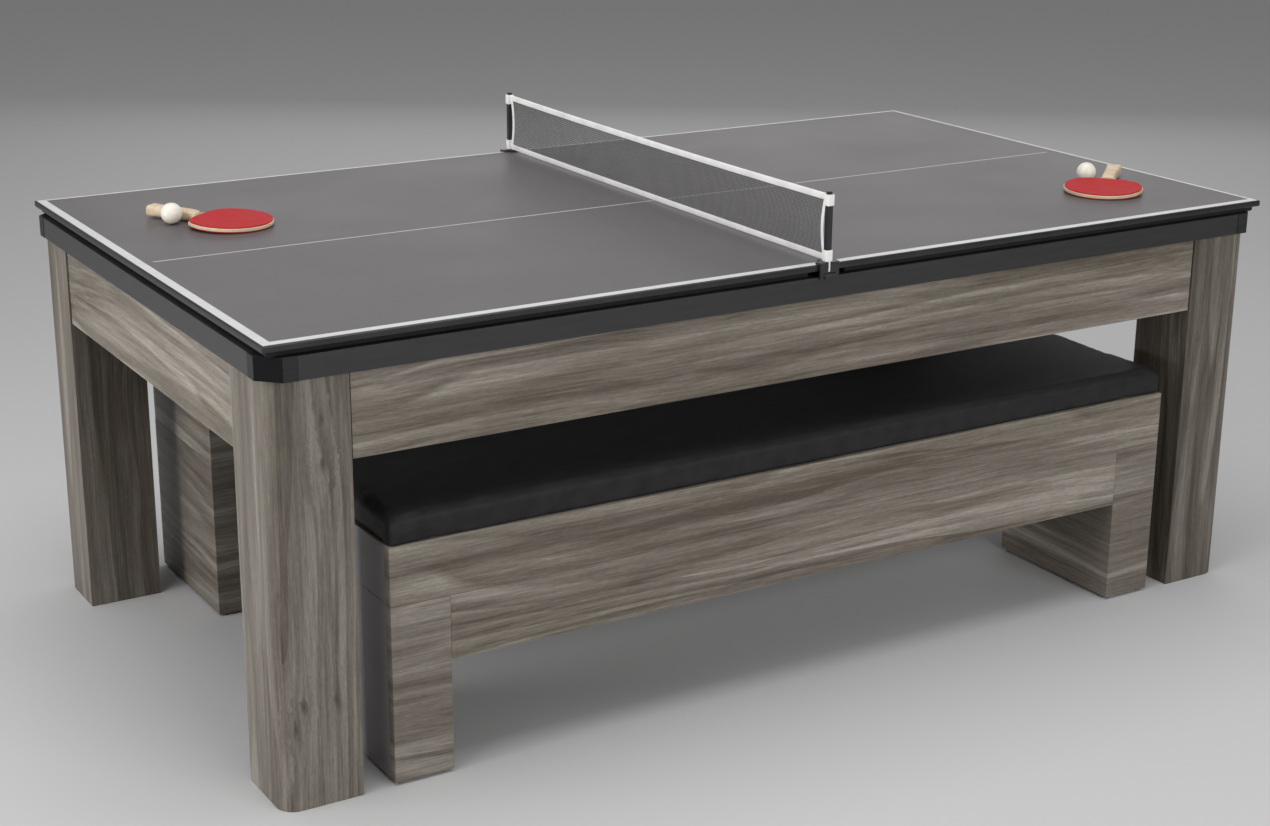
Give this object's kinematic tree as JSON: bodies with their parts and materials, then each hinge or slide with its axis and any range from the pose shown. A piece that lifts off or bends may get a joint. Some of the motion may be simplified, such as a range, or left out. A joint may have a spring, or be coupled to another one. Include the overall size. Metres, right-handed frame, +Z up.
{
  "type": "convertible pool table set",
  "caption": "Wood-grain games table: pool table under a two-piece lift-off table-tennis top with net, bats and balls, and two padded benches that slide out from below.",
  "frame": {"origin": "on the floor under the middle of the table", "axes": "+X along the table's length, towards the right as seen from the front long side, -Y towards the front long side, +Z up"},
  "size_m": [2.14, 1.219, 0.94],
  "materials": {
    "cabinet_laminate": "satin",
    "bench_laminate": "satin",
    "raw_board": "matte",
    "bed_cloth": "matte",
    "rail_black": "satin",
    "corner_gloss": "gloss",
    "cushion_cloth": "matte",
    "pocket_black": "matte",
    "top_surface": "matte",
    "edge_band": "satin",
    "pad_foam": "matte",
    "net_cloth": "matte",
    "clamp_black": "satin",
    "seat_leather": "satin",
    "bat_wood_rubber": "satin",
    "ball_plastic": "satin"
  },
  "bodies": {
    "table": {"leg_rear_right": "cabinet_laminate", "leg_rear_left": "cabinet_laminate", "leg_front_left": "cabinet_laminate", "leg_front_right": "cabinet_laminate", "apron_front": "cabinet_laminate", "apron_rear": "cabinet_laminate", "apron_left": "cabinet_laminate", "apron_right": "cabinet_laminate", "bed_beam": "raw_board", "bed": "bed_cloth", "rail_front": "rail_black", "rail_rear": "rail_black", "rail_left": "rail_black", "rail_right": "rail_black", "corner_cap_rear_right": "corner_gloss", "corner_cap_rear_left": "corner_gloss", "corner_cap_front_left": "corner_gloss", "corner_cap_front_right": "corner_gloss", "cushion_front_left": "cushion_cloth", "cushion_front_right": "cushion_cloth", "cushion_rear_left": "cushion_cloth", "cushion_rear_right": "cushion_cloth", "cushion_left": "cushion_cloth", "cushion_right": "cushion_cloth", "pocket_rear_right": "pocket_black", "pocket_rear_left": "pocket_black", "pocket_front_left": "pocket_black", "pocket_front_right": "pocket_black", "pocket_front_side": "pocket_black", "pocket_rear_side": "pocket_black"},
    "tennis_top": {"tennis_top_left": "top_surface", "tennis_top_right": "top_surface", "top_band_left": "edge_band", "top_band_right": "edge_band", "top_pad_left": "pad_foam", "top_pad_right": "pad_foam", "net_post_front": "clamp_black", "net_post_rear": "clamp_black", "net": "net_cloth"},
    "clip_front": {"net_clip_front": "clamp_black"},
    "clip_rear": {"net_clip_rear": "clamp_black"},
    "bench_front": {"bench_front_frame": "bench_laminate", "bench_front_leg_left": "bench_laminate", "bench_front_leg_right": "bench_laminate", "bench_front_board_outer": "bench_laminate", "bench_front_board_inner": "bench_laminate", "bench_front_lid": "raw_board", "bench_front_seat": "seat_leather"},
    "bench_rear": {"bench_rear_frame": "bench_laminate", "bench_rear_leg_left": "bench_laminate", "bench_rear_leg_right": "bench_laminate", "bench_rear_board_outer": "bench_laminate", "bench_rear_board_inner": "bench_laminate", "bench_rear_lid": "raw_board", "bench_rear_seat": "seat_leather"},
    "bat_left": {"bat_left": "bat_wood_rubber"},
    "bat_right": {"bat_right": "bat_wood_rubber"},
    "ball_left": {"ball_left": "ball_plastic"},
    "ball_right": {"ball_right": "ball_plastic"}
  },
  "joints": [
    {"name": "top_lift", "type": "slide", "parent": "table", "child": "tennis_top", "axis": [0, 0, 1], "range_m": [0, 0.5]},
    {"name": "clip_front_hinge", "type": "hinge", "parent": "tennis_top", "child": "clip_front", "pos_m": [-0.005, -0.6035, 0.7895], "axis": [-1, 0, 0], "range_deg": [0, 8], "stiffness_Nm_per_rad": 0.4, "springref_deg": -17.19},
    {"name": "clip_rear_hinge", "type": "hinge", "parent": "tennis_top", "child": "clip_rear", "pos_m": [-0.005, 0.6035, 0.7895], "axis": [1, 0, 0], "range_deg": [0, 8], "stiffness_Nm_per_rad": 0.4, "springref_deg": -17.19},
    {"name": "bench_front_slide", "type": "slide", "parent": "table", "child": "bench_front", "axis": [0, -1, 0], "range_m": [0, 0.8]},
    {"name": "bench_rear_slide", "type": "slide", "parent": "table", "child": "bench_rear", "axis": [0, 1, 0], "range_m": [0, 0.8]},
    {"name": "bat_left_lift", "type": "slide", "parent": "tennis_top", "child": "bat_left", "axis": [0, 0, 1], "range_m": [0, 0.25]},
    {"name": "bat_right_lift", "type": "slide", "parent": "tennis_top", "child": "bat_right", "axis": [0, 0, 1], "range_m": [0, 0.25]},
    {"name": "ball_left_lift", "type": "slide", "parent": "tennis_top", "child": "ball_left", "axis": [0, 0, 1], "range_m": [0, 0.25]},
    {"name": "ball_right_lift", "type": "slide", "parent": "tennis_top", "child": "ball_right", "axis": [0, 0, 1], "range_m": [0, 0.25]}
  ]
}
